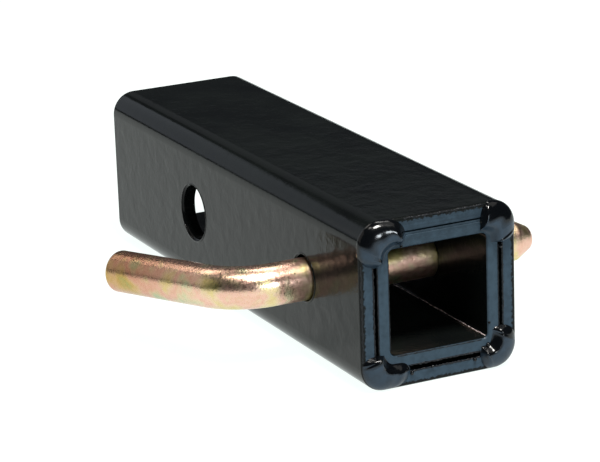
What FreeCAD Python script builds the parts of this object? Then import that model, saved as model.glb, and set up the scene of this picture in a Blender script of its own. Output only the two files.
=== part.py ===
import FreeCAD, Part
import math
import os
import Sketcher

# A receiver adapter: a square steel shank tube with a smaller square sleeve welded into its front
# end, and a bent hitch pin through both. The origin is on the tube's axis at the centre of the
# shank pin hole, +X points to the open socket, +Y to the pin's tip and +Z up.
document = FreeCAD.newDocument("hitch_receiver_adapter")

# Driving dimensions in millimetres, angles in degrees.
DIMENSIONS = {
    # Outer tube
    "tube_width": 50.8,
    "tube_length": 177.8,
    "tube_wall": 4.4,
    "tube_corner_radius": 7.3,
    "tube_front_round": 0.9,
    "tube_rear_chamfer": 0.6,
    "shank_hole_setback": 63.5,
    "shank_hole_diameter": 17.5,
    "shank_hole_chamfer": 0.6,
    # Inner sleeve
    "slot_width": 1.25,
    "slot_edge_chamfer": 0.35,
    "sleeve_length": 88.9,
    "sleeve_wall": 3.75,
    "sleeve_bore_radius": 1.6,
    "sleeve_lift": 0.4,
    # Cross holes for the hitch pin, drilled through tube and sleeve together
    "pin_hole_setback": 36.0,
    "pin_hole_diameter": 13.9,
    "pin_hole_chamfer": 0.4,
    # Hitch pin
    "pin_diameter": 12.7,
    "pin_seat_gap": 0.25,
    "pin_tip_reach": 26.0,
    "pin_nose_length": 6.1,
    "pin_nose_diameter": 6.2,
    "pin_nose_chamfer": 1.1,
    "pin_neck": 9.8,
    "pin_bend_radius": 16.8,
    "pin_bend_angle": 70.0,
    "pin_handle_length": 39.0,
    "pin_handle_drop": 4.6,
    "pin_handle_end_chamfer": 1.0,
    "clip_hole_diameter": 4.4,
    "clip_hole_reach": 10.6,
    # Corner welds: an angled bead on each corner, and how far it runs on past the corner of the
    # opening, across and up the front face
    "weld_crown": 2.2,
    "weld_crown_round": 1.5,
    "weld_root_depth": 3.0,
    "weld_edge_margin": 1.2,
    "weld_opening_margin": 0.4,
    "weld_outer_end_radius": 3.0,
    "weld_inner_end_chamfer": 1.6,
    "top_left_run_across": 6.4,
    "top_left_run_up": 4.9,
    "top_right_run_across": 2.9,
    "top_right_run_up": 3.9,
    "bottom_left_run_across": 6.9,
    "bottom_left_run_up": 2.3,
    "bottom_right_run_across": 3.4,
    "bottom_right_run_up": 4.4,
    # Weld run along the top of the sleeve, which leaves a hairline under the tube's top wall
    "top_run_depth": 2.0,
    "top_run_recess": 0.15,
    "top_run_hairline": 0.3,
    "top_run_overlap": 3.0,
}

sheet = document.addObject("Spreadsheet::Sheet", "sizes")
for row, (alias, value) in enumerate(DIMENSIONS.items(), start=1):
    sheet.set(f"A{row}", alias)
    sheet.set(f"B{row}", str(value))
    sheet.setAlias(f"B{row}", alias)
document.recompute()

# Two lengths or places closer than this are taken as the same.
SAME = 1e-4

# Places that several sub-parts share, as expressions of the sheet's cells.
HALF = "(sizes.tube_width / 2)"
FRONT = "(sizes.tube_length - sizes.shank_hole_setback)"
PIN_X = "(sizes.tube_length - sizes.shank_hole_setback - sizes.pin_hole_setback)"
TUBE_BORE = "(sizes.tube_width - 2 * sizes.tube_wall)"
SLEEVE_WIDTH = "(sizes.tube_width - 2 * sizes.tube_wall - 2 * sizes.slot_width)"
SLEEVE_BORE = f"({SLEEVE_WIDTH} - 2 * sizes.sleeve_wall)"
SLEEVE_REAR = "(sizes.tube_length - sizes.shank_hole_setback - sizes.sleeve_length)"
OPENING_INSET = "(sizes.tube_wall + sizes.slot_width + sizes.sleeve_wall - sizes.sleeve_lift)"

half_width = sheet.tube_width / 2
front_x = sheet.tube_length - sheet.shank_hole_setback
rear_x = -sheet.shank_hole_setback
pin_x = front_x - sheet.pin_hole_setback
bore_width = sheet.tube_width - 2 * sheet.tube_wall
sleeve_width = bore_width - 2 * sheet.slot_width
socket_width = sleeve_width - 2 * sheet.sleeve_wall


def origin_plane(body, role):
    """One of a body's own origin planes, by its role."""
    return next(item for item in body.Origin.OriginFeatures if item.Role == role)


def new_sketch(body, name, role):
    """A sketch lying on one of the body's origin planes."""
    sketch = body.newObject("Sketcher::SketchObject", name)
    sketch.AttachmentSupport = [(origin_plane(body, role), "")]
    sketch.MapMode = "FlatFace"
    return sketch


def bind(sketch, kind, references, value, expression):
    """Add a dimension to a sketch and bind it to the sheet."""
    index = sketch.addConstraint(Sketcher.Constraint(kind, *references, value))
    sketch.setExpression(f"Constraints[{index}]", expression)


def draw_square(sketch, width, expression):
    """Draw a square centred on the sketch's origin."""
    reach = width / 2
    corners = [(-reach, -reach), (reach, -reach), (reach, reach), (-reach, reach)]
    points = [FreeCAD.Vector(across, up, 0) for across, up in corners]
    sides = []
    for start, end in zip(points, points[1:] + points[:1]):
        sides.append(sketch.addGeometry(Part.LineSegment(start, end)))
    bottom, right, top, left = sides
    for side, following in zip(sides, sides[1:] + sides[:1]):
        sketch.addConstraint(Sketcher.Constraint("Coincident", side, 2, following, 1))
    for level in (bottom, top):
        sketch.addConstraint(Sketcher.Constraint("Horizontal", level))
    for upright in (right, left):
        sketch.addConstraint(Sketcher.Constraint("Vertical", upright))
    sketch.addConstraint(Sketcher.Constraint("Symmetric", bottom, 1, right, 2, -1, 1))
    bind(sketch, "DistanceX", (bottom, 1, bottom, 2), width, expression)
    bind(sketch, "DistanceY", (right, 1, right, 2), width, expression)


def draw_circle(sketch, across, across_expression, diameter, diameter_expression):
    """Draw a circle on the sketch's horizontal axis, at a distance from its origin."""
    centre = FreeCAD.Vector(across, 0, 0)
    circle = sketch.addGeometry(Part.Circle(centre, FreeCAD.Vector(0, 0, 1), diameter / 2))
    if across_expression is None:
        sketch.addConstraint(Sketcher.Constraint("Coincident", circle, 3, -1, 1))
    else:
        sketch.addConstraint(Sketcher.Constraint("PointOnObject", circle, 3, -1))
        bind(sketch, "DistanceX", (-1, 1, circle, 3), across, across_expression)
    bind(sketch, "Diameter", (circle,), diameter, diameter_expression)


def pad_square_tube(body, name, outer, bore, start, length, lift="0 mm"):
    """Extrude a square ring along +X from the given place."""
    section = new_sketch(body, f"{name}_section", "YZ_Plane")
    section.setExpression("AttachmentOffset.Base.z", start)
    section.setExpression("AttachmentOffset.Base.y", lift)
    for width, expression in (outer, bore):
        draw_square(section, width, expression)
    extrusion = body.newObject("PartDesign::Pad", f"{name}_extrusion")
    extrusion.Profile = section
    extrusion.setExpression("Length", length)
    document.recompute()
    return extrusion


def named_edges(feature, wanted):
    """The names of a feature's edges that pass a test."""
    return [f"Edge{number}" for number, edge in enumerate(feature.Shape.Edges, start=1) if wanted(edge)]


def round_edges(body, name, feature, edges, radius):
    """Round some edges of the body's latest feature."""
    fillet = body.newObject("PartDesign::Fillet", name)
    fillet.Base = (feature, edges)
    fillet.setExpression("Radius", radius)
    document.recompute()
    return fillet


def break_edges(body, name, feature, edges, size):
    """Chamfer some edges of the body's latest feature."""
    chamfer = body.newObject("PartDesign::Chamfer", name)
    chamfer.Base = (feature, edges)
    chamfer.setExpression("Size", size)
    document.recompute()
    return chamfer


def long_corner_edges(feature, reach, lift):
    """The four straight edges along X at the corners of a square of the given half width."""
    def at_corner(edge):
        centre = edge.CenterOfMass
        lengthwise = edge.BoundBox.YLength < SAME and edge.BoundBox.ZLength < SAME
        return (lengthwise and abs(abs(centre.y) - reach) < SAME
                and abs(abs(centre.z - lift) - reach) < SAME)
    return named_edges(feature, at_corner)


def end_rim_edges(feature, place, inside):
    """The edges around a square end face: its outer rim, or the rim of its opening."""
    def in_end(face):
        return face.BoundBox.XLength < SAME and abs(face.CenterOfMass.x - place) < SAME
    end_face = next(face for face in feature.Shape.Faces if in_end(face))
    outline = end_face.OuterWire.Edges
    wires = [wire for wire in end_face.Wires if not wire.isSame(end_face.OuterWire)]
    rim = [edge for wire in wires for edge in wire.Edges] if inside else outline
    return named_edges(feature, lambda edge: any(edge.isSame(other) for other in rim))


def side_hole_rims(feature, centre_x, reach):
    """The circles where a cross hole breaks out of the two side faces."""
    def on_side(edge):
        centre = edge.CenterOfMass
        return (isinstance(edge.Curve, Part.Circle) and edge.BoundBox.YLength < SAME
                and abs(abs(centre.y) - reach) < SAME and abs(centre.x - centre_x) < SAME)
    return named_edges(feature, on_side)


def drill_across(body, name, across, across_expression, diameter, diameter_expression, role="XZ_Plane"):
    """Cut a round hole right through, both ways from an origin plane."""
    sketch = new_sketch(body, f"{name}_circle", role)
    draw_circle(sketch, across, across_expression, diameter, diameter_expression)
    solid_before = body.Tip.Shape.Volume
    pocket = body.newObject("PartDesign::Pocket", name)
    pocket.Profile = sketch
    pocket.Type = "ThroughAll"
    pocket.SideType = "Symmetric"
    document.recompute()
    if pocket.Shape.Volume > solid_before - SAME:
        raise RuntimeError(f"{name} removes no material")
    return pocket


# Outer tube: rolled square tube, sawn to length, drilled across for the shank pin and the hitch pin.
def make_outer_tube():
    body = document.addObject("PartDesign::Body", "outer_tube")
    feature = pad_square_tube(
        body, "tube", (sheet.tube_width, "sizes.tube_width"), (bore_width, TUBE_BORE),
        "-sizes.shank_hole_setback", "sizes.tube_length")
    corners = long_corner_edges(feature, half_width, 0)
    feature = round_edges(body, "tube_corners", feature, corners, "sizes.tube_corner_radius")
    bore_corners = long_corner_edges(feature, bore_width / 2, 0)
    feature = round_edges(
        body, "tube_bore_corners", feature, bore_corners, "sizes.tube_corner_radius - sizes.tube_wall")
    front_rim = end_rim_edges(feature, front_x, inside=False)
    feature = round_edges(body, "tube_front_edge", feature, front_rim, "sizes.tube_front_round")
    rear_rim = end_rim_edges(feature, rear_x, inside=False)
    feature = break_edges(body, "tube_rear_edge", feature, rear_rim, "sizes.tube_rear_chamfer")
    slot_rim = end_rim_edges(feature, front_x, inside=True)
    feature = break_edges(body, "tube_slot_edge", feature, slot_rim, "sizes.slot_edge_chamfer")
    feature = drill_across(
        body, "shank_hole", 0, None, sheet.shank_hole_diameter, "sizes.shank_hole_diameter")
    rims = side_hole_rims(feature, 0, half_width)
    feature = break_edges(body, "shank_hole_rims", feature, rims, "sizes.shank_hole_chamfer")
    feature = drill_across(
        body, "tube_pin_hole", pin_x, PIN_X, sheet.pin_hole_diameter, "sizes.pin_hole_diameter")
    rims = side_hole_rims(feature, pin_x, half_width)
    break_edges(body, "tube_pin_hole_rims", feature, rims, "sizes.pin_hole_chamfer")
    return body


# Inner sleeve: a shorter square tube flush with the front end, the socket for the smaller shank.
def make_inner_sleeve():
    body = document.addObject("PartDesign::Body", "inner_sleeve")
    feature = pad_square_tube(
        body, "sleeve", (sleeve_width, SLEEVE_WIDTH), (socket_width, SLEEVE_BORE),
        SLEEVE_REAR, "sizes.sleeve_length", "sizes.sleeve_lift")
    corners = long_corner_edges(feature, sleeve_width / 2, sheet.sleeve_lift)
    feature = round_edges(
        body, "sleeve_corners", feature, corners, "sizes.sleeve_bore_radius + sizes.sleeve_wall")
    bore_corners = long_corner_edges(feature, socket_width / 2, sheet.sleeve_lift)
    feature = round_edges(body, "sleeve_bore_corners", feature, bore_corners, "sizes.sleeve_bore_radius")
    for name, inside in (("outer", False), ("mouth", True)):
        rim = end_rim_edges(feature, front_x, inside)
        feature = break_edges(body, f"sleeve_{name}_edge", feature, rim, "sizes.slot_edge_chamfer")
    drill_across(
        body, "sleeve_pin_hole", pin_x, PIN_X, sheet.pin_hole_diameter, "sizes.pin_hole_diameter")
    return body


# Hitch pin: a round bar with a turned nose and a clip hole, bent cold at the other end for a handle.
# It is drawn along its own X axis, nose first, and then turned to lie along +Y.
def make_hitch_pin():
    body = document.addObject("PartDesign::Body", "hitch_pin")
    radius = sheet.pin_diameter / 2
    nose_radius = sheet.pin_nose_diameter / 2
    tip_x = half_width + sheet.pin_tip_reach
    shoulder_x = tip_x - sheet.pin_nose_length
    neck_x = half_width + sheet.pin_neck
    tip_expression = f"{HALF} + sizes.pin_tip_reach"
    neck_expression = f"{HALF} + sizes.pin_neck"

    profile = new_sketch(body, "shaft_profile", "XY_Plane")
    outline = [(-neck_x, 0), (tip_x, 0), (tip_x, nose_radius), (shoulder_x, radius), (-neck_x, radius)]
    points = [FreeCAD.Vector(along, out, 0) for along, out in outline]
    lines = []
    for start, end in zip(points, points[1:] + points[:1]):
        lines.append(profile.addGeometry(Part.LineSegment(start, end)))
    axis, nose_end, nose, side, neck_end = lines
    for line, following in zip(lines, lines[1:] + lines[:1]):
        profile.addConstraint(Sketcher.Constraint("Coincident", line, 2, following, 1))
    for level in (axis, side):
        profile.addConstraint(Sketcher.Constraint("Horizontal", level))
    for upright in (nose_end, neck_end):
        profile.addConstraint(Sketcher.Constraint("Vertical", upright))
    profile.addConstraint(Sketcher.Constraint("PointOnObject", axis, 1, -1))
    bind(profile, "DistanceX", (-1, 1, axis, 2), tip_x, tip_expression)
    bind(profile, "DistanceX", (axis, 1, -1, 1), neck_x, neck_expression)
    bind(profile, "DistanceX", (nose, 2, nose, 1), sheet.pin_nose_length, "sizes.pin_nose_length")
    bind(profile, "DistanceY", (nose_end, 1, nose_end, 2), nose_radius, "sizes.pin_nose_diameter / 2")
    bind(profile, "DistanceY", (neck_end, 2, neck_end, 1), radius, "sizes.pin_diameter / 2")
    shaft = body.newObject("PartDesign::Revolution", "turned_shaft")
    shaft.Profile = profile
    shaft.ReferenceAxis = (profile, ["H_Axis"])
    document.recompute()

    # The bar leaves the neck along -X, turns through the bend angle and runs straight to its end.
    path = new_sketch(body, "handle_path", "XY_Plane")
    path.AttachmentOffset = FreeCAD.Placement(
        FreeCAD.Vector(0, 0, 0), FreeCAD.Rotation(FreeCAD.Vector(-1, 0, 0), sheet.pin_handle_drop))
    path.setExpression("AttachmentOffset.Rotation.Angle", "sizes.pin_handle_drop * 1 deg")
    bend_radius = sheet.pin_bend_radius
    bend = math.radians(sheet.pin_bend_angle)
    quarter = math.pi / 2
    bend_centre = FreeCAD.Vector(-neck_x, bend_radius, 0)
    bend_circle = Part.Circle(bend_centre, FreeCAD.Vector(0, 0, 1), bend_radius)
    bend_end = bend_centre - FreeCAD.Vector(math.sin(bend), math.cos(bend), 0) * bend_radius
    handle_end = bend_end + FreeCAD.Vector(-math.cos(bend), math.sin(bend), 0) * sheet.pin_handle_length
    arc = path.addGeometry(Part.ArcOfCircle(bend_circle, 3 * quarter - bend, 3 * quarter))
    handle = path.addGeometry(Part.LineSegment(bend_end, handle_end))
    path.addConstraint(Sketcher.Constraint("PointOnObject", arc, 2, -1))
    path.addConstraint(Sketcher.Constraint("Vertical", arc, 2, arc, 3))
    path.addConstraint(Sketcher.Constraint("Tangent", arc, 1, handle, 1))
    bind(path, "DistanceX", (arc, 2, -1, 1), neck_x, neck_expression)
    bind(path, "Radius", (arc,), bend_radius, "sizes.pin_bend_radius")
    bind(path, "Angle", (handle,), math.pi - bend, "180 deg - sizes.pin_bend_angle * 1 deg")
    bind(path, "Distance", (handle,), sheet.pin_handle_length, "sizes.pin_handle_length")

    section = new_sketch(body, "handle_section", "YZ_Plane")
    section.setExpression("AttachmentOffset.Base.z", f"-({neck_expression})")
    draw_circle(section, 0, None, sheet.pin_diameter, "sizes.pin_diameter")
    bent_bar = body.newObject("PartDesign::AdditivePipe", "bent_handle")
    bent_bar.Profile = section
    bent_bar.Spine = (path, ["Edge1", "Edge2"])
    document.recompute()

    # Break the sheared end of the handle and the tip of the nose.
    farthest = max(bent_bar.Shape.Edges, key=lambda edge: edge.CenterOfMass.y)
    handle_rim = named_edges(bent_bar, lambda edge: edge.isSame(farthest))
    feature = break_edges(
        body, "handle_end_edge", bent_bar, handle_rim, "sizes.pin_handle_end_chamfer")
    nose_rim = named_edges(
        feature, lambda edge: isinstance(edge.Curve, Part.Circle) and abs(edge.CenterOfMass.x - tip_x) < SAME)
    break_edges(body, "nose_edge", feature, nose_rim, "sizes.pin_nose_chamfer")
    drill_across(
        body, "clip_hole", half_width + sheet.clip_hole_reach, f"{HALF} + sizes.clip_hole_reach",
        sheet.clip_hole_diameter, "sizes.clip_hole_diameter", "XY_Plane")

    # The pin lies low in its holes, close above the lower edges.
    body.Placement = FreeCAD.Placement(
        FreeCAD.Vector(0, 0, 0), FreeCAD.Rotation(FreeCAD.Vector(0, 0, 1), 90))
    body.setExpression("Placement.Base.x", PIN_X)
    body.setExpression(
        "Placement.Base.z", "-(sizes.pin_hole_diameter - sizes.pin_diameter) / 2 + sizes.pin_seat_gap")
    return body


def sketch_on_front(body, name):
    """A sketch across the tube, behind the front face by the depth of a weld's root."""
    sketch = new_sketch(body, name, "YZ_Plane")
    sketch.setExpression("AttachmentOffset.Base.z", f"{FRONT} - sizes.weld_root_depth")
    return sketch


def from_axis(sketch, kind, line, side, distance, expression):
    """Bind the distance of a line's start from the tube's axis, on its own side of the axis."""
    start, axis = (line, 1), (-1, 1)
    references = axis + start if side > 0 else start + axis
    bind(sketch, kind, references, distance, expression)


def cut_away(name, base, tools):
    """Take other sub-parts out of a shape, one after the other; the last cut gets the name."""
    for number, tool in enumerate(tools, start=1):
        cut = document.addObject("Part::Cut", name if tool is tools[-1] else f"{name}_cut_{number}")
        cut.Base = base
        cut.Tool = tool
        base = cut
    return base


# Corner welds: each is an angled bead with a rounded crown, which lies on both square ends around
# the corner and fills the slot between them.
def make_corner_weld(corner, sides, outer_tube, inner_sleeve):
    name = f"{corner}_weld"
    body = document.addObject("PartDesign::Body", f"{name}_metal")
    outer_inset = "sizes.weld_edge_margin"
    inner_inset = f"({OPENING_INSET} - sizes.weld_opening_margin)"
    inner_place = (sheet.tube_wall + sheet.slot_width + sheet.sleeve_wall - sheet.sleeve_lift
                   - sheet.weld_opening_margin)
    run_across = getattr(sheet, f"{corner}_run_across")
    run_up = getattr(sheet, f"{corner}_run_up")
    outer = half_width - sheet.weld_edge_margin
    inner = half_width - inner_place
    end_across = inner - run_across
    end_up = inner - run_up

    # The bead's outline on the front face, walked from the tube's corner across, in and back up.
    outline = sketch_on_front(body, f"{name}_outline")
    places = [(outer, outer), (end_across, outer), (end_across, inner),
              (inner, inner), (inner, end_up), (outer, end_up)]
    side_y, side_z = sides
    points = [FreeCAD.Vector(side_y * across, side_z * up, 0) for across, up in places]
    lines = []
    for start, end in zip(points, points[1:] + points[:1]):
        lines.append(outline.addGeometry(Part.LineSegment(start, end)))
    for line, following in zip(lines, lines[1:] + lines[:1]):
        outline.addConstraint(Sketcher.Constraint("Coincident", line, 2, following, 1))
    for level, upright in zip(lines[0::2], lines[1::2]):
        outline.addConstraint(Sketcher.Constraint("Horizontal", level))
        outline.addConstraint(Sketcher.Constraint("Vertical", upright))
    top, end_side, under, inner_side, foot, outer_side = lines
    from_axis(outline, "DistanceX", top, side_y, outer, f"{HALF} - {outer_inset}")
    from_axis(outline, "DistanceY", top, side_z, outer, f"{HALF} - {outer_inset}")
    from_axis(outline, "DistanceX", inner_side, side_y, inner, f"{HALF} - {inner_inset}")
    from_axis(outline, "DistanceY", under, side_z, inner, f"{HALF} - {inner_inset}")
    from_axis(outline, "DistanceX", under, side_y, end_across,
              f"{HALF} - {inner_inset} - sizes.{corner}_run_across")
    from_axis(outline, "DistanceY", foot, side_z, end_up,
              f"{HALF} - {inner_inset} - sizes.{corner}_run_up")
    bead = body.newObject("PartDesign::Pad", f"{name}_bead")
    bead.Profile = outline
    bead.setExpression("Length", "sizes.weld_root_depth + sizes.weld_crown")
    document.recompute()

    # Shape the bead in plan, round at the tube's corner and at both ends' outer sides and cut back at
    # their inner sides, and then round it over its crown.
    def upright_edges(feature, corners):
        def wanted(edge):
            centre = edge.CenterOfMass
            return edge.BoundBox.XLength > SAME and any(
                abs(side_y * centre.y - across) < SAME and abs(side_z * centre.z - up) < SAME
                for across, up in corners)
        return named_edges(feature, wanted)

    corner_edge = upright_edges(bead, [(outer, outer)])
    feature = round_edges(
        body, f"{name}_corner", bead, corner_edge, "sizes.tube_corner_radius - sizes.weld_edge_margin")
    outer_ends = upright_edges(feature, [(end_across, outer), (outer, end_up)])
    feature = round_edges(body, f"{name}_outer_ends", feature, outer_ends, "sizes.weld_outer_end_radius")
    inner_ends = upright_edges(feature, [(end_across, inner), (inner, end_up)])
    feature = break_edges(body, f"{name}_inner_ends", feature, inner_ends, "sizes.weld_inner_end_chamfer")
    crown_edges = end_rim_edges(feature, front_x + sheet.weld_crown, inside=False)
    round_edges(body, f"{name}_crown", feature, crown_edges, "sizes.weld_crown_round")
    return cut_away(name, body, [outer_tube, inner_sleeve])


# Top weld run: the slot above the sleeve is filled nearly flush between the two upper corner welds.
def make_top_run(corner_welds):
    strip = document.addObject("Part::Box", "top_run_strip")
    weld_reach = f"({OPENING_INSET} - sizes.weld_opening_margin)"
    left_end = f"({weld_reach} + sizes.top_left_run_across - sizes.top_run_overlap)"
    right_end = f"({weld_reach} + sizes.top_right_run_across - sizes.top_run_overlap)"
    strip.setExpression("Length", "sizes.top_run_depth")
    strip.setExpression("Width", f"sizes.tube_width - {left_end} - {right_end}")
    strip.setExpression("Height", "sizes.slot_width - sizes.sleeve_lift - sizes.top_run_hairline")
    strip.setExpression("Placement.Base.x", f"{FRONT} - sizes.top_run_depth - sizes.top_run_recess")
    strip.setExpression("Placement.Base.y", f"{left_end} - {HALF}")
    strip.setExpression("Placement.Base.z", f"{SLEEVE_WIDTH} / 2 + sizes.sleeve_lift")
    return cut_away("top_weld_run", strip, corner_welds)


outer_tube = make_outer_tube()
inner_sleeve = make_inner_sleeve()
hitch_pin = make_hitch_pin()
CORNERS = {"top_left": (-1, 1), "top_right": (1, 1), "bottom_left": (-1, -1), "bottom_right": (1, -1)}
welds = {}
for corner, sides in CORNERS.items():
    welds[corner] = make_corner_weld(corner, sides, outer_tube, inner_sleeve)
top_run = make_top_run([welds["top_left"], welds["top_right"]])
document.recompute()

for item in document.Objects:
    if "Invalid" in item.State or "Error" in item.State:
        raise RuntimeError(f"{item.Name} did not build: {item.State}")

subparts = [outer_tube, inner_sleeve, hitch_pin, *welds.values(), top_run]
for subpart in subparts:
    shape = subpart.Shape
    if shape.isNull() or not shape.isValid() or len(shape.Solids) != 1:
        raise RuntimeError(f"{subpart.Label} is not one valid solid: {len(shape.Solids)}")

os.makedirs("parts", exist_ok=True)
for subpart in subparts:
    subpart.Shape.exportStep(f"parts/{subpart.Label}.step")
    box = subpart.Shape.BoundBox
    print(subpart.Label, round(subpart.Shape.Volume, 1), [round(side, 2) for side in (
        box.XMin, box.XMax, box.YMin, box.YMax, box.ZMin, box.ZMax)])
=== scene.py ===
import math

import bmesh
import bpy
import numpy as np
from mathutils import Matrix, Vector


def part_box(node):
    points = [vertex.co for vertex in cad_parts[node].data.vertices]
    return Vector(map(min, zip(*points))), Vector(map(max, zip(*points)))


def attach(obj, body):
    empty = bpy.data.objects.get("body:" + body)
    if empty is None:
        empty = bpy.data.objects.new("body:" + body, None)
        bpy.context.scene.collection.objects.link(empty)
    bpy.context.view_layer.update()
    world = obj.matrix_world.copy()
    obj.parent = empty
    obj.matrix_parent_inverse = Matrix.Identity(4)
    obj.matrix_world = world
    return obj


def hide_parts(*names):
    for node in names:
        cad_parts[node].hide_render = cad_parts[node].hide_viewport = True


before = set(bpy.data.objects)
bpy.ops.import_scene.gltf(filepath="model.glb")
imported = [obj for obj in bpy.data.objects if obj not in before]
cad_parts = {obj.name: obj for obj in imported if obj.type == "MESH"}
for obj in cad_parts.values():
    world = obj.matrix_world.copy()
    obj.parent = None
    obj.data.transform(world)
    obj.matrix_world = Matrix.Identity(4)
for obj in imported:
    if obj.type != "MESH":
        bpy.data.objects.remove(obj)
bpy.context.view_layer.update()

# Outer tube: two-inch square steel tube, rolled with round corners, sawn off, drilled across and
# coated in gloss black powder. The coat has a faint orange peel, and the sawn front end is duller.
MILLIMETRE = 0.001
tube_low, tube_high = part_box("outer_tube")
front_x = tube_high[0]
tube_half = tube_high[1]
tube_corner = 7.3 * MILLIMETRE
peel_depth = 0.14 * MILLIMETRE
# Blue-grey painted sheen for the sawn front end, where the coat reflects the bluish light in front.
tube_front_painted_sheen = (0.028, 0.048, 0.068)


def feed_socket(tree, socket, value):
    """Set a socket to a constant, or join it to a node's output, given as a (node, output) pair."""
    if isinstance(value, tuple) and isinstance(value[0], bpy.types.Node):
        node, output = value
        tree.links.new(node.outputs[output], socket)
    else:
        socket.default_value = value


def feed(tree, node, **values):
    """Feed a node's inputs by socket name, with spaces written as underscores."""
    for name, value in values.items():
        feed_socket(tree, node.inputs[name.replace("_", " ")], value)


def add_node(tree, kind, place, **values):
    """A shader node at a place in its tree, with its inputs fed by socket name."""
    node = tree.nodes.new(kind)
    node.location = place
    feed(tree, node, **values)
    return node


def noise(tree, place, point, **values):
    """A noise texture over the given coordinates."""
    return add_node(tree, "ShaderNodeTexNoise", place, Vector=point, **values)


def ramp(tree, place, share, stops):
    """A colour ramp over a share, with the given (position, colour) stops."""
    node = add_node(tree, "ShaderNodeValToRGB", place, Fac=share)
    bar = node.color_ramp
    while len(bar.elements) < len(stops):
        bar.elements.new(1.0)
    for element, (position, colour) in zip(bar.elements, stops):
        element.position = position
        element.color = (*colour, 1.0)
    return node


def spread(tree, place, value, old_span, new_span):
    """A clamped Map Range from one span of values to another."""
    return add_node(tree, "ShaderNodeMapRange", place, Value=value, From_Min=old_span[0],
                    From_Max=old_span[1], To_Min=new_span[0], To_Max=new_span[1])


def maths(tree, place, operation, *values):
    """A Math node, with its inputs fed in order."""
    node = add_node(tree, "ShaderNodeMath", place)
    node.operation = operation
    for socket, value in zip(node.inputs, values):
        feed_socket(tree, socket, value)
    return node


def side_distance(tree, place, axes, operation):
    """The smaller (MINIMUM) or the larger (MAXIMUM) of a point's distances from the middle planes."""
    left, level = place
    across = maths(tree, (left - 200, level - 80), "ABSOLUTE", (axes, "Y"))
    up = maths(tree, (left - 200, level + 80), "ABSOLUTE", (axes, "Z"))
    return maths(tree, place, operation, (across, 0), (up, 0))


def new_group(name, outputs):
    """An empty node group with one vector input and the named outputs."""
    group = bpy.data.node_groups.new(name, "ShaderNodeTree")
    group.interface.new_socket("Vector", in_out="INPUT", socket_type="NodeSocketVector")
    for output, kind in outputs.items():
        group.interface.new_socket(output, in_out="OUTPUT", socket_type=f"NodeSocket{kind}")
    return group


def coat_peel_group():
    """Orange peel of a powder coat: waves about five millimetres long with a finer pebble on top.

    Puts out the height of the peel, which is calmer on the rolled corners, a gloss that drifts in
    upright streaks and a nearly black colour that drifts from blue to green.
    """
    pebble_share = 0.16
    mean_height = 0.58
    corner_start = tube_half - tube_corner
    calming = (corner_start - 1.3 * MILLIMETRE, corner_start + 0.7 * MILLIMETRE)
    group = new_group("coat_peel", {"Height": "Float", "Gloss": "Float", "Colour": "Color"})
    point = (add_node(group, "NodeGroupInput", (-1100, 0)), "Vector")
    waves = noise(group, (-600, 250), point, Scale=210.0, Detail=3.0, Distortion=0.3)
    pebble = noise(group, (-600, 0), point, Scale=1500.0, Detail=1.0)
    total = maths(group, (-300, 150), "MULTIPLY_ADD", (pebble, "Fac"), pebble_share, (waves, "Fac"))
    swing = maths(group, (-100, 150), "SUBTRACT", (total, 0), mean_height)
    axes = add_node(group, "ShaderNodeSeparateXYZ", (-800, 500), Vector=point)
    nearest = side_distance(group, (-300, 500), axes, "MINIMUM")
    calm = spread(group, (-100, 500), (nearest, 0), calming, (1.0, 0.25))
    height = maths(group, (150, 250), "MULTIPLY", (swing, 0), (calm, "Result"))
    streaks = add_node(group, "ShaderNodeMapping", (-850, -250), Vector=point, Scale=(1.0, 1.0, 0.22))
    drift = noise(group, (-600, -250), (streaks, "Vector"), Scale=60.0, Detail=3.0)
    gloss = spread(group, (-100, -80), (drift, "Fac"), (0.3, 0.75), (0.10, 0.19))
    tint = ramp(group, (-100, -350), (drift, "Fac"), [
        (0.3, (0.0030, 0.0036, 0.0038)), (0.7, (0.0042, 0.0054, 0.0050))])
    add_node(group, "NodeGroupOutput", (400, 0), Height=(height, 0), Gloss=(gloss, "Result"),
             Colour=(tint, "Color"))
    return group


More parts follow.
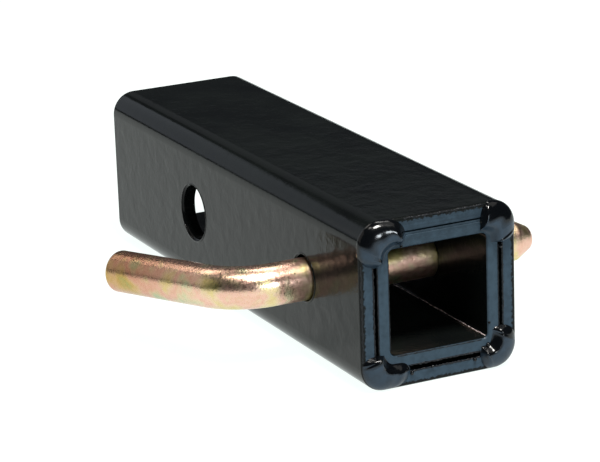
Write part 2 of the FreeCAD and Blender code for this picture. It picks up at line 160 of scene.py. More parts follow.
def sawn_end_group():
    """Sawn and ground steel under the coat at the front end: a mask, fine lines along Y and patches.

    The mask rises from nought to one over the last half millimetre before the front face and stops
    at a ragged line near the tube's outer edge. The lines are a noise stretched along the saw's
    stroke, strongest on the top wall.
    """
    last_part = (front_x - 0.6 * MILLIMETRE, front_x - 0.1 * MILLIMETRE)
    outer_edge = (tube_half - 0.25 * MILLIMETRE, tube_half + 0.15 * MILLIMETRE)
    tooth_depth = 2.4 * MILLIMETRE
    top_wall = (12.0 * MILLIMETRE, 19.0 * MILLIMETRE)
    group = new_group("sawn_end", {"Mask": "Float", "Lines": "Float", "Patches": "Float"})
    point = (add_node(group, "NodeGroupInput", (-1100, 0)), "Vector")
    axes = add_node(group, "ShaderNodeSeparateXYZ", (-850, 200), Vector=point)
    near_front = spread(group, (-600, 300), (axes, "X"), last_part, (0.0, 1.0))
    farthest = side_distance(group, (-420, 560), axes, "MAXIMUM")
    teeth = noise(group, (-600, 900), point, Scale=900.0, Detail=3.0, Roughness=0.6)
    ragged = maths(group, (-420, 800), "MULTIPLY_ADD", (teeth, "Fac"), tooth_depth, (farthest, 0))
    inside = spread(group, (-240, 640), (ragged, 0), outer_edge, (1.0, 0.0))
    mask = maths(group, (-60, 420), "MULTIPLY", (near_front, "Result"), (inside, "Result"))
    stroke = add_node(group, "ShaderNodeMapping", (-850, -50), Vector=point, Scale=(1.0, 0.03, 1.6))
    scores = noise(group, (-600, -50), (stroke, "Vector"), Scale=1700.0, Detail=3.0)
    upper = spread(group, (-600, 80), (axes, "Z"), top_wall, (0.12, 1.0))
    strength = maths(group, (-300, 50), "MULTIPLY", (scores, "Fac"), (upper, "Result"))
    lines = maths(group, (-100, 50), "MULTIPLY", (strength, 0), (near_front, "Result"))
    patches = noise(group, (-600, -350), point, Scale=420.0, Detail=4.0, Roughness=0.65)
    add_node(group, "NodeGroupOutput", (300, 0), Mask=(mask, 0), Lines=(lines, 0),
             Patches=(patches, "Fac"))
    return group


coat_peel = coat_peel_group()
sawn_end = sawn_end_group()


def new_material(name):
    """A new material, its node tree and its shader."""
    material = bpy.data.materials.new(name)
    material.use_nodes = True
    return material, material.node_tree, material.node_tree.nodes["Principled BSDF"]


def object_point(tree):
    """The coordinates of the piece's own mesh, as a (node, output) pair."""
    return add_node(tree, "ShaderNodeTexCoord", (-1300, 0)), "Object"


def place_group(tree, place, group, point):
    """A node group placed in a material, over the given coordinates."""
    node = tree.nodes.new("ShaderNodeGroup")
    node.node_tree = group
    node.location = place
    feed(tree, node, Vector=point)
    return node


# Numbers of a Mix node's sockets for each kind of value: share, first, second and result.
MIX_SOCKETS = {"RGBA": (0, 6, 7, 2), "FLOAT": (0, 2, 3, 0)}


def mix(tree, place, kind, share, first, second, way="MIX"):
    """Two colours (RGBA) or numbers (FLOAT) mixed by a share, as a (node, output) pair."""
    node = add_node(tree, "ShaderNodeMix", place)
    node.data_type = kind
    node.blend_type = way
    *entries, result = MIX_SOCKETS[kind]
    for entry, value in zip(entries, (share, first, second)):
        feed_socket(tree, node.inputs[entry], value)
    return node, result


def bumped(tree, height, depth):
    """The normal of a surface that goes up and down by a depth, as a (node, output) pair."""
    bump = add_node(tree, "ShaderNodeBump", (-200, -250), Strength=1.0, Distance=depth, Height=height)
    return bump, "Normal"


def coated_steel(name, front_painted_sheen):
    """Gloss black powder coat with orange peel; duller on the sawn front end, with a painted blue-grey
    sheen.
    """
    dark_share = 0.6
    score_darkening = -0.45
    material, tree, shader = new_material(name)
    point = object_point(tree)
    peel = place_group(tree, (-1000, 200), coat_peel, point)
    sawn = place_group(tree, (-1000, -200), sawn_end, point)
    # The painted sheen is darker in the sawn end's patches and along the saw's scores.
    dark_painted_sheen = tuple(dark_share * part for part in front_painted_sheen)
    scored = maths(tree, (-950, -420), "MULTIPLY_ADD", (sawn, "Lines"), score_darkening, (sawn, "Patches"))
    painted_sheen = ramp(tree, (-750, -350), (scored, 0), [(0.2, dark_painted_sheen), (0.55, front_painted_sheen)])
    dull = spread(tree, (-750, -50), (sawn, "Patches"), (0.3, 0.7), (0.30, 0.42))
    height = maths(tree, (-450, -250), "ADD", (peel, "Height"), (sawn, "Lines"))
    colour = mix(tree, (-450, 250), "RGBA", (sawn, "Mask"), (peel, "Colour"), (painted_sheen, "Color"))
    gloss = mix(tree, (-450, 0), "FLOAT", (sawn, "Mask"), (peel, "Gloss"), (dull, "Result"))
    feed(tree, shader, IOR=1.22, Base_Color=colour, Roughness=gloss,
         Normal=bumped(tree, (height, 0), peel_depth))
    return material


def dress(node, material):
    """Give a CAD node's object a material."""
    node_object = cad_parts[node]
    node_object.data.materials.clear()
    node_object.data.materials.append(material)


tube_coat = coated_steel("tube_coat", tube_front_painted_sheen)
dress("outer_tube", tube_coat)

# Hole rims: the coat drew up in a thin wet ring round each drilled hole, where it hung on the edge.
# The rings are part of the coat and stand less than half a millimetre proud.
# Each hole's place along the tube and the ring's radius, in millimetres.
RIM_HOLES = {"shank_hole": (0.0, 9.35), "pin_hole": (78.3, 7.35)}


def full_circle(steps):
    """Angles once round a circle, in even steps."""
    return np.linspace(0, 2 * np.pi, steps, endpoint=False)


def rim_ring(centre_x, face_y, radius, seed):
    """A thin ring round a hole in a side face.

    An oval section is carried round the circle. Its thickness is a mean plus four sine waves round
    the circle, each of random phase and smaller the shorter it is.
    """
    mean_thickness, swelling, sunk, breadth = 0.22, 0.06, 0.06, 1.3
    wave_count = 4
    turn = full_circle(120)
    angle = full_circle(12)[None, :]
    chance = np.random.default_rng(seed)
    waves = np.arange(1, wave_count + 1)[:, None]
    phases = chance.uniform(0, 6, (wave_count, 1))
    swell = (np.sin(waves * turn + phases) / waves).sum(axis=0)
    thickness = (mean_thickness + swelling * swell)[:, None]
    out = radius + breadth * thickness * np.cos(angle)
    proud = thickness * np.sin(angle) - sunk
    return np.stack([centre_x + out * np.cos(turn)[:, None], face_y + np.sign(face_y) * proud,
                     out * np.sin(turn)[:, None]], axis=-1) * MILLIMETRE


def grid_mesh(name, points, close_round=True, close_along=False):
    """A mesh of quads over a grid of points, wrapped round in either direction."""
    rows, columns = points.shape[:2]
    numbers = np.arange(rows * columns).reshape(rows, columns)
    if close_round:
        numbers = np.concatenate([numbers, numbers[:, :1]], axis=1)
    if close_along:
        numbers = np.concatenate([numbers, numbers[:1]], axis=0)
    quads = np.stack([numbers[:-1, :-1], numbers[:-1, 1:], numbers[1:, 1:], numbers[1:, :-1]], axis=-1)
    mesh = bpy.data.meshes.new(name)
    mesh.from_pydata(points.reshape(-1, 3).tolist(), [], quads.reshape(-1, 4).tolist())
    mesh.shade_smooth()
    return mesh


def close_ends(mesh):
    """Merge the points of each collapsed end and turn every face outwards."""
    merge_distance = 1e-7
    work = bmesh.new()
    work.from_mesh(mesh)
    bmesh.ops.remove_doubles(work, verts=work.verts, dist=merge_distance)
    bmesh.ops.recalc_face_normals(work, faces=work.faces)
    work.to_mesh(mesh)
    work.free()
    mesh.shade_smooth()


def new_piece(name, points, material, body, close_along=False):
    """Put a grid of points into the scene as a closed piece that rides on a CAD body."""
    mesh = grid_mesh(name, points, close_along=close_along)
    close_ends(mesh)
    piece = bpy.data.objects.new(name, mesh)
    bpy.context.scene.collection.objects.link(piece)
    mesh.materials.append(material)
    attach(piece, body)
    return piece


for number, (hole, (hole_x, hole_radius)) in enumerate(RIM_HOLES.items(), start=1):
    for side, face in (("left", -tube_half), ("right", tube_half)):
        ring_points = rim_ring(hole_x, face / MILLIMETRE, hole_radius, number)
        new_piece(f"{hole}_rim_{side}", ring_points, tube_coat, "adapter", close_along=True)

# Inner sleeve: a smaller square steel tube, the socket for a smaller shank. It is slipped into the
# outer tube flush with its front end, welded there and coated with the rest in the same black.
sleeve_front_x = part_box("inner_sleeve")[1][0]
# Blue-grey painted sheen for the sleeve's sawn front end.
sleeve_front_painted_sheen = (0.030, 0.051, 0.071)
sleeve_coat = coated_steel("sleeve_coat", sleeve_front_painted_sheen)
dress("inner_sleeve", sleeve_coat)

# Corner welds: four beads laid over the ends of both tubes, one round each corner. The metal ran
# out smooth towards the sleeve, rolled over the tube's edge and took the coat thick and wet.
BEAD_STEPS = 140
BEAD_ROUND = 64
# Side of the tube, then crown, ridge and toe in millimetres, then the seed of the bead's waves.
CORNER_BEADS = {
    "top_left_weld": ((-1, 1), 3.0, 5.2, 8.4, 11),
    "top_right_weld": ((1, 1), 2.8, 5.6, 8.5, 23),
    "bottom_left_weld": ((-1, -1), 2.4, 5.0, 7.6, 37),
    "bottom_right_weld": ((1, -1), 2.5, 5.2, 8.0, 52),
}


def corner_line(inset, radius, reach, first_leg, turn, last_leg):
    """A line round a corner: a leg, a quarter circle and a leg, as insets from both outer faces."""
    reach_across, reach_up = reach
    inset_y = inset + radius * (1 - np.sin(turn)) + (reach_across - inset - radius) * (1 - first_leg)
    inset_z = inset + radius * (1 - np.cos(turn)) + (reach_up - inset - radius) * last_leg
    return np.stack([inset_y, inset_z], axis=-1)


def slow_waves(share, count, amount, chance):
    """One plus a sum of a few sine waves of random phase and size along a line, short ones smaller."""
    shrinking = 0.6
    cycles = np.arange(1, count + 1)[:, None]
    phases = chance.uniform(0, 2 * np.pi, (count, 1))
    sizes = chance.uniform(0.4, 1.0, (count, 1)) / cycles ** shrinking
    return 1 + amount * (sizes * np.sin(2 * np.pi * cycles * share + phases)).sum(axis=0)


def corner_bead(low, high, sides, crown, ridge_inset, toe_inset, seed):
    """Points of a weld bead round one corner of the front face.

    Three lines go round the corner: the toe near the opening, the ridge and the roll over the tube's
    edge. From toe to ridge the surface rises along half a cosine wave, from the ridge it falls along
    a quarter oval to just behind the tube's edge, and underneath it returns inside the steel. Crown,
    ridge and toe drift with slow sine waves, and both ends narrow to a point.
    """
    leg_share = 0.3
    end_share = 0.22
    end_bluntness = 0.6
    ridge_drift, toe_drift, crown_drift = 0.05, 0.035, 0.10
    ridge_corner = 4.9 * MILLIMETRE
    toe_corner = 3.4 * MILLIMETRE
    roll = 1.2 * MILLIMETRE
    root = 1.6 * MILLIMETRE
    toe_sunk = 0.05 * MILLIMETRE
    side_y, side_z = sides
    outer_inset = (-0.12 if side_z > 0 else 0.06) * MILLIMETRE
    chance = np.random.default_rng(seed)
    reach = (tube_half - min(abs(low[1]), abs(high[1])), tube_half - min(abs(low[2]), abs(high[2])))
    share = 0.5 - 0.5 * np.cos(np.pi * np.linspace(0, 1, BEAD_STEPS))
    first_leg = np.clip(share / leg_share, 0, 1)
    turn = np.clip((share - leg_share) / (1 - 2 * leg_share), 0, 1) * np.pi / 2
    last_leg = np.clip((share - 1 + leg_share) / leg_share, 0, 1)
    outer = corner_line(outer_inset, tube_corner - outer_inset, reach, first_leg, turn, last_leg)
    ridge_now = ridge_inset * slow_waves(share, 3, ridge_drift, chance)
    ridge = corner_line(ridge_now, ridge_corner, reach, first_leg, turn, last_leg)
    toe_now = toe_inset * slow_waves(share, 4, toe_drift, chance)
    toe = corner_line(toe_now, toe_corner, reach, first_leg, turn, last_leg)

    nearest = np.clip(np.minimum(share, 1 - share) / end_share, 0, 1)
    narrow = np.sqrt(1 - (1 - nearest) ** 2)[:, None]
    rise = (nearest * nearest * (3 - 2 * nearest)) ** end_bluntness
    height = (crown * slow_waves(share, 4, crown_drift, chance) * rise)[:, None]
    # Once round the section: from the toe over the ridge to the roll, and back inside the steel.
    half_round = np.linspace(-1, 1, BEAD_ROUND // 2 + 1)
    top = np.sin(half_round * np.pi / 2)
    across = np.concatenate([top, top[-2:0:-1]])[None, :]
    over_top = np.arange(BEAD_ROUND)[None, :] <= BEAD_ROUND // 2
    oval = np.sqrt(np.clip(1 - across ** 2, 0, 1))
    toe_side = height * (0.5 + 0.5 * np.cos(np.pi * across)) - toe_sunk
    roll_side = (height + roll * narrow) * oval - roll * narrow
    underside = -narrow * (roll * np.clip(across, 0, 1) + root * oval)
    front = np.where(over_top, np.where(across < 0, toe_side, roll_side), underside)
    inner_part = np.clip(-across, 0, 1)[..., None] * narrow[..., None]
    outer_part = np.clip(across, 0, 1)[..., None] * narrow[..., None]
    inset = ridge[:, None, :] + inner_part * (toe - ridge)[:, None, :]
    place = tube_half - inset - outer_part * (outer - ridge)[:, None, :]
    return np.stack([front_x + front, side_y * place[..., 0], side_z * place[..., 1]], axis=-1)


def mark_painted_sheen(mesh):
    """Store in a mesh how far each point faces forward and not up, as a share from nought to one.

    It is the product of two straight rises over the point's normal, one over X and one down over Z.
    The weld coat paints a blue-grey sheen where the share is high.
    """
    forward_from, forward_rise = 0.25, 0.35
    up_limit, up_fall = 0.18, 0.16
    normals = np.empty((len(mesh.vertices), 3), dtype=np.float32)
    mesh.vertex_normals.foreach_get("vector", normals.ravel())
    forward = np.clip((normals[:, 0] - forward_from) / forward_rise, 0, 1)
    not_up = np.clip((up_limit - normals[:, 2]) / up_fall, 0, 1)
    level = mesh.attributes.new("level", "FLOAT", "POINT")
    level.data.foreach_set("value", forward * not_up)


def weld_coat():
    """The coat where it pooled on a weld: wet black, with slow ripples and no pebble.

    Where the mesh's level attribute is high, it is duller and has a painted blue-grey sheen, as on the sawn
    end.
    """
    wet_black = (0.0015, 0.0019, 0.0025, 1.0)
    added_dullness = 0.2
    ripple_depth = 0.04 * MILLIMETRE
    material, tree, shader = new_material("weld_coat")
    point = object_point(tree)
    peel = place_group(tree, (-700, 100), coat_peel, point)
    sawn = place_group(tree, (-700, 700), sawn_end, point)
    # Share of the painted sheen: how far the bead faces forward and not up.
    level = add_node(tree, "ShaderNodeAttribute", (-500, 480))
    level.attribute_name = "level"
    # Painted blue-grey sheen, darker in the sawn end's patches.
    painted_sheen = ramp(tree, (-500, 700), (sawn, "Patches"), [
        (0.2, (0.009, 0.016, 0.025)), (0.55, (0.017, 0.032, 0.050))])
    colour = mix(tree, (-250, 450), "RGBA", (level, "Fac"), wet_black, (painted_sheen, "Color"))
    gloss = maths(tree, (-250, 0), "MULTIPLY_ADD", (level, "Fac"), added_dullness, (peel, "Gloss"))
    ripples = noise(tree, (-700, -250), point, Scale=520.0, Detail=1.5)
    feed(tree, shader, IOR=1.36, Base_Color=colour, Roughness=(gloss, 0),
         Normal=bumped(tree, (ripples, "Fac"), ripple_depth))
    return material


pooled_coat = weld_coat()
for node, (sides, crown, ridge, toe, seed) in CORNER_BEADS.items():
    bead_points = corner_bead(
        *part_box(node), sides, crown * MILLIMETRE, ridge * MILLIMETRE, toe * MILLIMETRE, seed)
    bead = new_piece(f"{node}_bead", bead_points, pooled_coat, "adapter")
    # Faces turned forward and not up carry the painted sheen.
    mark_painted_sheen(bead.data)
    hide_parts(node)

# Spatter: drops of weld metal that stuck near the beads and in the ends of the slots. They are as
# round as shot, sunk a little into the face and coated with the rest.
# Place across and up, and radius, in millimetres.
DROPS = [
    (14.7, -20.0, 0.75), (15.9, -17.7, 0.65), (18.4, -16.0, 0.7), (21.6, -13.2, 0.55), (23.2, -16.1, 0.5),
    (16.4, -11.0, 0.35), (-23.0, -17.3, 0.55), (-19.6, -16.8, 0.5), (-9.4, -21.6, 0.6), (11.4, -21.4, 0.55),
    (-2.6, -20.8, 0.45), (-11.9, 16.9, 0.4), (14.2, 20.0, 0.45), (20.5, 11.6, 0.6)]
drop_x = front_x / MILLIMETRE + 0.15


def round_drop(centre, radius):
    """A ball from pole to pole, drawn out a little along Z."""
    drawn_out = 1.12
    down = np.linspace(0, np.pi, 18)[:, None]
    turn = full_circle(24)[None, :]
    out = radius * np.sin(down)
    up = drawn_out * radius * np.cos(down) + 0 * turn
    return np.asarray(centre) + np.stack([out * np.cos(turn), out * np.sin(turn), up], axis=-1)


for number, (across, up, size) in enumerate(DROPS, start=1):
    drop_centre = np.array([drop_x, across, up]) * MILLIMETRE
    drop_points = round_drop(drop_centre, size * MILLIMETRE)
    new_piece(f"spatter_{number}", drop_points, pooled_coat, "adapter")

# Coat lips: along the sawn edges and the slots the coat drew back from the burrs and dried in ragged
# ridges. They are part of the coat, thinner than a fingernail and dull.
# Start and end as places across and up, and thickness, in millimetres.
LIPS = {
    "left_slot_outer": ((-21.1, -16.4), (-21.1, 12.2), 0.42),
    "left_slot_inner": ((-19.7, -16.0), (-19.7, 11.6), 0.26),
    "right_slot_outer": ((21.1, -12.6), (21.1, 12.6), 0.42),
    "right_slot_inner": ((19.7, -12.4), (19.7, 12.4), 0.24),
    "bottom_slot_upper": ((-10.0, -19.3), (13.6, -19.3), 0.38),
    "bottom_slot_lower": ((-10.0, -21.1), (13.4, -21.1), 0.34),
    "top_edge": ((-11.0, 24.9), (15.0, 24.9), 0.36),
    "left_edge": ((-24.9, -16.0), (-24.9, 13.0), 0.38),
    "mouth_lower": ((-14.0, -15.9), (14.0, -15.9), 0.26),
    "mouth_left": ((-16.1, -13.6), (-16.1, 14.0), 0.22),
}
lip_x = front_x / MILLIMETRE - 0.08


def joined(share, values):
    """Values at even steps along a line, joined by straight lines."""
    return np.interp(share, np.linspace(0, 1, len(values)), values)


def ragged_lip(start, end, beside, thickness, seed):
    """A thin round ridge along a straight edge, whose thickness jumps about in small teeth.

    The radius is a base plus teeth times a slow swell, each a chain of random values joined by
    straight lines. The middle line wanders to both sides, and both ends close to a point.
    """
    tooth_count, swell_count, wander_count = 64, 9, 40
    base, tooth_part, wander_part, flatness = 0.35, 0.8, 0.35, 0.8
    chance = np.random.default_rng(seed)
    share = np.linspace(0, 1, 180)
    teeth = joined(share, chance.uniform(0.3, 1.0, tooth_count) ** 2)
    swell = joined(share, chance.uniform(0.5, 1.0, swell_count))
    radius = thickness * (base + tooth_part * teeth * swell)
    radius[[0, -1]] = 0.0
    wander = thickness * wander_part * joined(share, chance.uniform(-1, 1, wander_count))
    start, end, beside = np.asarray(start), np.asarray(end), np.asarray(beside)
    along = (end - start) / np.linalg.norm(end - start)
    upright = np.cross(beside, along)
    middle = start + share[:, None] * (end - start) + wander[:, None] * beside
    angle = full_circle(14)[:, None]
    ring = np.cos(angle) * beside + flatness * np.sin(angle) * upright
    return (middle[:, None, :] + radius[:, None, None] * ring) * MILLIMETRE


def burr_coat():
    """The thin coat over sawn burrs: dull black, uneven in gloss and pitted."""
    pit_depth = 0.04 * MILLIMETRE
    material, tree, shader = new_material("burr_coat")
    pits = noise(tree, (-700, 0), object_point(tree), Scale=1600.0, Detail=3.0)
    black = ramp(tree, (-450, 200), (pits, "Fac"), [
        (0.3, (0.003, 0.003, 0.004)), (0.7, (0.008, 0.010, 0.013))])
    gloss = spread(tree, (-450, -50), (pits, "Fac"), (0.3, 0.7), (0.3, 0.55))
    feed(tree, shader, IOR=1.3, Base_Color=(black, "Color"), Roughness=(gloss, "Result"),
         Normal=bumped(tree, (pits, "Fac"), pit_depth))
    return material


dull_black = burr_coat()
for number, (name, (start, end, thickness)) in enumerate(LIPS.items(), start=1):
    sideways = (0.0, 1.0, 0.0) if start[0] == end[0] else (0.0, 0.0, 1.0)
    lip_points = ragged_lip((lip_x, *start), (lip_x, *end), sideways, thickness, number)
    new_piece(f"coat_lip_{name}", lip_points, dull_black, "adapter")

# Rubbed corner: along the socket's lower right corner the coat is scraped to bare steel, a thread
# of metal with a painted pinkish-white glint, seen from the mouth. Places and thickness are in millimetres.
scrape_start = (52.0, 15.55, -15.15)
scrape_end = (sleeve_front_x / MILLIMETRE - 0.7, 15.55, -15.15)
scrape_side = (0.0, 0.7071, 0.7071)
scrape_thickness = 0.22
scrape_seed = 77


def scrape_with_painted_glint():
    """Bare steel in a scrape: a painted pinkish-white glint, streaked brown by specks along it."""
    material, tree, shader = new_material("scrape_with_painted_glint")
    specks = noise(tree, (-700, 0), object_point(tree), Scale=700.0, Detail=4.0, Roughness=0.7)
    # Painted pinkish-white glint, broken by brown specks.
    painted_glint = ramp(tree, (-450, 100), (specks, "Fac"), [
        (0.38, (0.03, 0.026, 0.026)), (0.55, (0.90, 0.74, 0.72))])
    feed(tree, shader, Roughness=0.5, Base_Color=(painted_glint, "Color"))
    return material


scrape_points = ragged_lip(scrape_start, scrape_end, scrape_side, scrape_thickness, scrape_seed)
new_piece("rubbed_corner", scrape_points, scrape_with_painted_glint(), "adapter")

# Top weld run: along the top of the sleeve the slot is filled nearly flush, and only a hairline
# shows under the tube's wall. It is the same steel and coat as the sleeve's end.
dress("top_weld_run", sleeve_coat)

# Hitch pin: half-inch round bar with a turned nose, drilled for a clip and bent cold into a handle,
# then plated in yellow zinc, which leaves a pale gold skin with faint pink and green clouds.
pin_low, pin_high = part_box("hitch_pin")
pin_radius = 6.35 * MILLIMETRE
pin_axis_x = pin_high[0] - pin_radius
pin_axis_z = pin_high[2] - pin_radius
pin_tip_y = pin_high[1]
pin_neck_y = -35.2 * MILLIMETRE
bend_radius = 16.8 * MILLIMETRE
bend_angle = math.radians(70.0)
handle_length = 39.0 * MILLIMETRE
handle_drop = math.radians(4.6)
nose_length = 6.1 * MILLIMETRE
nose_radius = 3.1 * MILLIMETRE
tip_round = 1.5 * MILLIMETRE
end_round = 1.3 * MILLIMETRE
clip_hole_y = 36.0 * MILLIMETRE
clip_hole_radius = 2.2 * MILLIMETRE


def bent_bar():
    """Points of the bent bar, from the nose to the end of the handle.

    A circle is carried along a line, an arc and a line. Its radius grows from a rounded tip along the
    cone of the nose to the full bar, and shrinks along a quarter oval at the sheared end.
    """
    straight = pin_tip_y - pin_neck_y
    bend_length = bend_radius * bend_angle
    whole = straight + bend_length + handle_length
    quarter = np.linspace(0, np.pi / 2, 14)
    tip_steps = tip_round * (1 - np.cos(quarter))
    nose_steps = np.linspace(tip_round, nose_length, 12)[1:]
    shaft_steps = np.linspace(nose_length, straight, 150)[1:]
    bend_steps = np.linspace(straight, straight + bend_length, 70)[1:]
    handle_steps = np.linspace(straight + bend_length, whole - end_round, 70)[1:]
    end_steps = whole - end_round * (1 - np.sin(quarter))[1:]
    along = np.concatenate([tip_steps, nose_steps, shaft_steps, bend_steps, handle_steps, end_steps])
    cone = nose_radius + (pin_radius - nose_radius) * np.clip(along / nose_length, 0, 1)
    tip_part = np.sqrt(np.clip(1 - (1 - np.clip(along / tip_round, 0, 1)) ** 2, 0, 1))
    end_part = np.clip((along - (whole - end_round)) / end_round, 0, 1)
    radius = cone - tip_round * (1 - tip_part) - end_round * (1 - np.sqrt(1 - end_part ** 2))
    # Both ends close with a flat disc, whose middle is a circle of no radius.
    along = np.concatenate([[0.0], along, [whole]])
    radius = np.concatenate([[0.0], radius, [0.0]])
    turn = np.clip((along - straight) / bend_radius, 0, bend_angle)
    beyond = np.clip(along - straight - bend_length, 0, None)
    before = np.clip(along, 0, straight)
    away = bend_radius * np.sin(turn) + beyond * math.cos(bend_angle)
    back = bend_radius * (1 - np.cos(turn)) + beyond * math.sin(bend_angle)
    # Unit directions: along the shaft, and to the side the handle is bent towards.
    sideways = np.array([-math.cos(handle_drop), 0.0, -math.sin(handle_drop)])
    lengthwise = np.array([0.0, -1.0, 0.0])
    upright = np.cross(lengthwise, sideways)
    start = np.array([pin_axis_x, pin_tip_y, pin_axis_z])
    centre = start + (before + away)[:, None] * lengthwise + back[:, None] * sideways
    inner = np.cos(turn)[:, None] * sideways - np.sin(turn)[:, None] * lengthwise
    angle = full_circle(96)[None, :, None]
    ring = np.cos(angle) * inner[:, None, :] + np.sin(angle) * upright
    return centre[:, None, :] + radius[:, None, None] * ring


def drill(piece, place, radius, reach):
    """Cut a round hole along Z through a piece and keep the cut mesh.

    The drill is a cylinder: two equal circles, each closed by one of no radius at the same level.
    """
    angle = full_circle(64)
    middle = np.array(place[:2])
    circle = radius * np.stack([np.cos(angle), np.sin(angle)], axis=-1)
    open_share = np.array([0.0, 1.0, 1.0, 0.0])[:, None, None]
    plan = middle + open_share * circle[None]
    levels = place[2] + reach * np.array([-1.0, -1.0, 1.0, 1.0])[:, None, None]
    points = np.concatenate([plan, np.broadcast_to(levels, (*plan.shape[:2], 1))], axis=-1)
    mesh = grid_mesh("clip_drill", points)
    close_ends(mesh)
    cutter = bpy.data.objects.new("clip_drill", mesh)
    bpy.context.scene.collection.objects.link(cutter)
    cut = piece.modifiers.new("clip_hole", "BOOLEAN")
    cut.object = cutter
    cut.solver = "EXACT"
    graph = bpy.context.evaluated_depsgraph_get()
    drilled = bpy.data.meshes.new_from_object(piece.evaluated_get(graph))
    piece.modifiers.clear()
    piece.data = drilled
    bpy.data.objects.remove(cutter)


def yellow_zinc():
    """Yellow zinc plating: satin gold metal with soft clouds of pink, straw and green and a fine grain.

    Towards the end of the handle the gold turns browner, and from the neck on the shaft is duller.
    """
    white = (1.0, 1.0, 1.0)
    browned = (pin_low[0] + 12.0 * MILLIMETRE, pin_low[0] + 42.0 * MILLIMETRE)
    grain_depth = 0.06 * MILLIMETRE
    material, tree, shader = new_material("yellow_zinc")
    point = object_point(tree)
    clouds = noise(tree, (-950, 250), point, Scale=85.0, Detail=5.0, Roughness=0.5)
    grain = noise(tree, (-950, -50), point, Scale=1500.0, Detail=3.0, Roughness=0.6)
    mottle = noise(tree, (-950, -300), point, Scale=700.0, Detail=5.0, Roughness=0.7)
    axes = add_node(tree, "ShaderNodeSeparateXYZ", (-950, 500), Vector=point)
    tints = ramp(tree, (-700, 300), (clouds, "Fac"), [
        (0.28, (0.32, 0.57, 0.30)), (0.37, (0.74, 0.57, 0.17)), (0.46, (0.78, 0.65, 0.45)),
        (0.54, (0.82, 0.43, 0.38)), (0.62, (0.77, 0.65, 0.42)), (0.72, (0.36, 0.61, 0.38))])
    tints.color_ramp.interpolation = "B_SPLINE"
    stain = ramp(tree, (-700, 20), (mottle, "Fac"), [(0.30, (0.86, 0.82, 0.74)), (0.58, white)])
    stained = mix(tree, (-400, 200), "RGBA", 1.0, (tints, "Color"), (stain, "Color"), way="MULTIPLY")
    towards_neck = spread(tree, (-700, 560), (axes, "X"), browned, (0.0, 1.0))
    # Darker and browner towards the end of the handle.
    browner_towards_end = ramp(tree, (-500, 560), (towards_neck, "Result"), [(0.0, (0.72, 0.57, 0.48)), (1.0, white)])
    plating = mix(tree, (-200, 300), "RGBA", 1.0, stained, (browner_towards_end, "Color"), way="MULTIPLY")
    gloss = spread(tree, (-400, -60), (mottle, "Fac"), (0.3, 0.7), (0.21, 0.33))
    shaft = spread(tree, (-400, -350), (axes, "Y"), (pin_neck_y, -tube_half), (0.0, 0.07))
    duller = maths(tree, (-200, -60), "ADD", (gloss, "Result"), (shaft, "Result"))
    feed(tree, shader, Metallic=1.0, Base_Color=plating, Roughness=(duller, 0),
         Normal=bumped(tree, (grain, "Fac"), grain_depth))
    return material


pin = new_piece("bent_pin", bent_bar(), yellow_zinc(), "hitch_pin")
drill(pin, (pin_axis_x, clip_hole_y, pin_axis_z), clip_hole_radius, 2 * pin_radius)
pin.data.shade_smooth()
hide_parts("hitch_pin")

# Studio: a wide white table that glows like a light table. Small lights overhead and low in front
# make the gleams on the welds and the pin, and broad dim panels stand behind, beside and above.
# The rest is dark, so the top of the tube stays black.
floor_reach = 3.0
floor_z = tube_low[2]
floor_steps = np.linspace(-floor_reach, floor_reach, 3)
floor_x, floor_y = np.meshgrid(floor_steps, floor_steps)
floor_grid = np.stack([floor_x, floor_y, np.full_like(floor_x, floor_z)], axis=-1)
floor_mesh = grid_mesh("table_top", floor_grid, close_round=False)
floor = bpy.data.objects.new("table_top", floor_mesh)
bpy.context.scene.collection.objects.link(floor)
table_white, table_tree, table_shader = new_material("table_white")
feed(table_tree, table_shader, Base_Color=(0.10, 0.10, 0.10, 1.0), Roughness=0.9,
     Emission_Color=(0.93, 1.0, 0.975, 1.0), Emission_Strength=1.0)
floor_mesh.materials.append(table_white)

part_middle = (0.03, 0.0, 0.0)
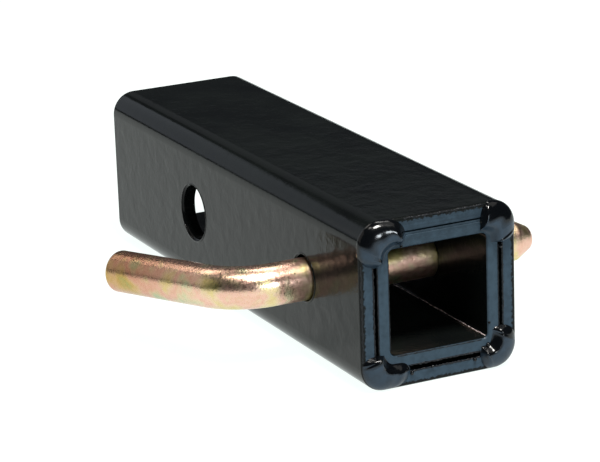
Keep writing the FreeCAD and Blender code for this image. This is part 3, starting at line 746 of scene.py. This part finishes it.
# Place and size in metres, power in watts, and colour.
SOFT_LIGHTS = {
    "key_light": ((0.55, -0.02, 1.15), (0.34, 0.28), 24.0, (1.0, 0.97, 0.93)),
    "overhead_softbox": ((0.25, 0.45, 1.0), (0.8, 0.6), 1.3, (1.0, 0.97, 0.92)),
    "front_light": ((1.25, 0.06, 0.34), (0.24, 0.2), 6.2, (0.88, 0.95, 1.0)),
    "rear_panel": ((-1.35, -0.5, 0.45), (0.9, 0.75), 1.5, (0.82, 0.9, 1.0)),
    "rear_right_panel": ((-1.17, 0.61, 0.66), (1.0, 0.4), 0.15, (0.9, 0.95, 1.0)),
    "high_panel": ((-0.74, -0.26, 0.96), (0.5, 0.3), 1.6, (1.0, 0.96, 0.86)),
    "bend_light": ((0.12, -0.42, 1.15), (0.3, 0.16), 1.6, (1.0, 0.97, 0.90)),
    "neck_light": ((-0.36, 0.32, 1.08), (0.34, 0.2), 2.0, (1.0, 0.98, 0.94)),
    "left_softbox": ((-0.55, -0.95, 0.55), (1.2, 0.8), 1.5, (1.0, 0.95, 0.88)),
}
for name, (place, size, power, colour) in SOFT_LIGHTS.items():
    lamp = bpy.data.lights.new(name, "AREA")
    lamp.shape = "RECTANGLE"
    lamp.size, lamp.size_y = size
    lamp.energy = power
    lamp.color = colour
    holder = bpy.data.objects.new(name, lamp)
    bpy.context.scene.collection.objects.link(holder)
    holder.location = place
    holder.rotation_euler = (Vector(part_middle) - Vector(place)).to_track_quat("-Z", "Y").to_euler()
world = bpy.data.worlds.new("dark_studio")
bpy.context.scene.world = world
world.use_nodes = True
feed(world.node_tree, world.node_tree.nodes["Background"], Color=(0.05, 0.055, 0.065, 1.0), Strength=0.5)

# Camera: stands to the front left and a little above, as the photograph was taken, with a long lens.
# Its place, turns and lens were solved from the tube's edges in the photograph.
camera_turns = (72.865, 1.918, 63.556)
camera_data = bpy.data.cameras.new("camera")
camera_data.sensor_width = 36.0
camera_data.lens = 169.3
camera = bpy.data.objects.new("camera", camera_data)
bpy.context.scene.collection.objects.link(camera)
camera.location = (0.7873, -0.3696, 0.2572)
camera.rotation_euler = tuple(math.radians(turn) for turn in camera_turns)
bpy.context.scene.camera = camera
bpy.context.scene.view_settings.view_transform = "Standard"

bpy.context.view_layer.update()
